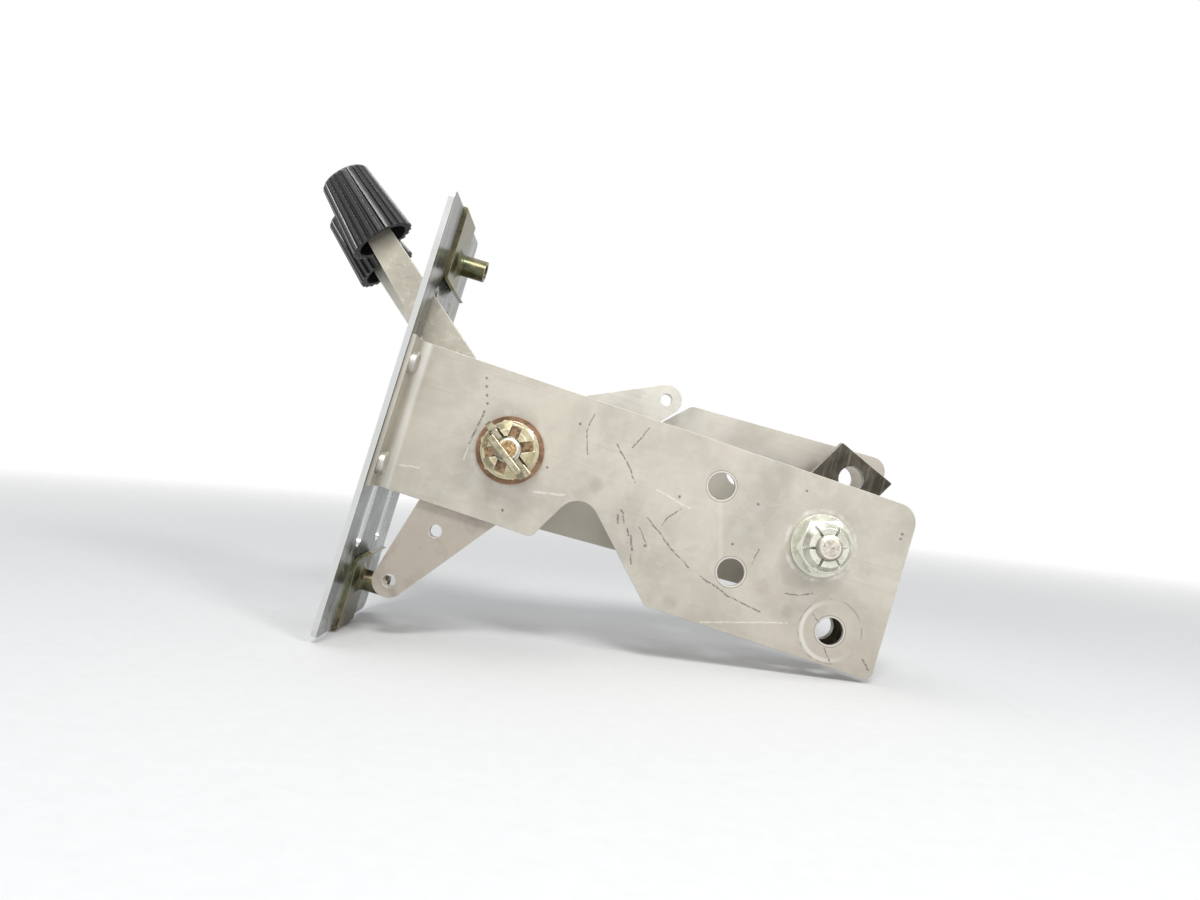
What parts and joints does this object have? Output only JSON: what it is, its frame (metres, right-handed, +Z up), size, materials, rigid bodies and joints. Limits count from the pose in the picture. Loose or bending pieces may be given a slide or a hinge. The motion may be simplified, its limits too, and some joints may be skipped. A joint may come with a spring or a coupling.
{
  "type": "alternate air control lever",
  "caption": "Panel-mounted alternate air control: fluted-knob bellcrank levers through slots in a front plate, on a pivot bolt between sheet brackets with swivelling cable clamps.",
  "frame": {"origin": "centre of the front plate's front face, which lies against the back of the panel", "axes": "+X rearwards along the brackets, +Y from the right bracket (with the nuts) to the left one, +Z up along the plate"},
  "size_m": [0.1264, 0.0384, 0.085],
  "materials": {
    "plate": "polished, bluish grey",
    "bracket": "satin, scratched",
    "rivet": "satin",
    "clip_nut": "olive gold plating",
    "bolt": "plated, dull",
    "washer": "plated, pale",
    "brown_washer": "brown, dull",
    "gold_nut": "gold plating",
    "cotter": "plated",
    "lever": "satin, worn",
    "knob": "black, fluted",
    "friction_washer": "dull",
    "spacer": "turned",
    "lock_nut": "pale silver plating",
    "clamp": "dark, bright edges",
    "sleeve": "turned"
  },
  "bodies": {
    "frame": {"front_plate": "plate", "bracket_right": "bracket", "bracket_left": "bracket", "flange_rivets": "rivet", "clip_nut_upper": "clip_nut", "clip_nut_lower": "clip_nut", "pivot_bolt": "bolt", "pivot_head_washer": "washer", "pivot_nut_washer": "brown_washer", "castle_nut": "gold_nut", "cotter_pin": "cotter", "outer_friction_washer_right": "friction_washer", "outer_friction_washer_left": "friction_washer", "inner_friction_washer_right": "friction_washer", "inner_friction_washer_left": "friction_washer", "pivot_spacer": "spacer", "rear_bolt": "bolt", "rear_head_washer": "washer", "rear_nut_washer": "washer", "rear_lock_nut": "lock_nut", "rear_sleeve_right": "sleeve", "rear_sleeve_left": "sleeve", "rear_center_sleeve": "sleeve"},
    "lever_right": {"lever_right": "lever", "knob_right": "knob"},
    "lever_left": {"lever_left": "lever", "knob_left": "knob"},
    "cable_clamp_right": {"cable_clamp_right": "clamp"},
    "cable_clamp_left": {"cable_clamp_left": "clamp"}
  },
  "joints": [
    {"name": "lever_right_pivot", "type": "hinge", "parent": "frame", "child": "lever_right", "pos_m": [0.0231, -0.00828, 0], "axis": [0, -1, 0], "range_deg": [-0.35, 83.35]},
    {"name": "lever_left_pivot", "type": "hinge", "parent": "frame", "child": "lever_left", "pos_m": [0.0231, 0.00828, 0], "axis": [0, -1, 0], "range_deg": [-4.05, 79.65]},
    {"name": "cable_clamp_right_swivel", "type": "hinge", "parent": "frame", "child": "cable_clamp_right", "pos_m": [0.0834, -0.0038, 0], "axis": [0, -1, 0], "continuous": true},
    {"name": "cable_clamp_left_swivel", "type": "hinge", "parent": "frame", "child": "cable_clamp_left", "pos_m": [0.0834, 0.0038, 0], "axis": [0, -1, 0], "continuous": true}
  ]
}
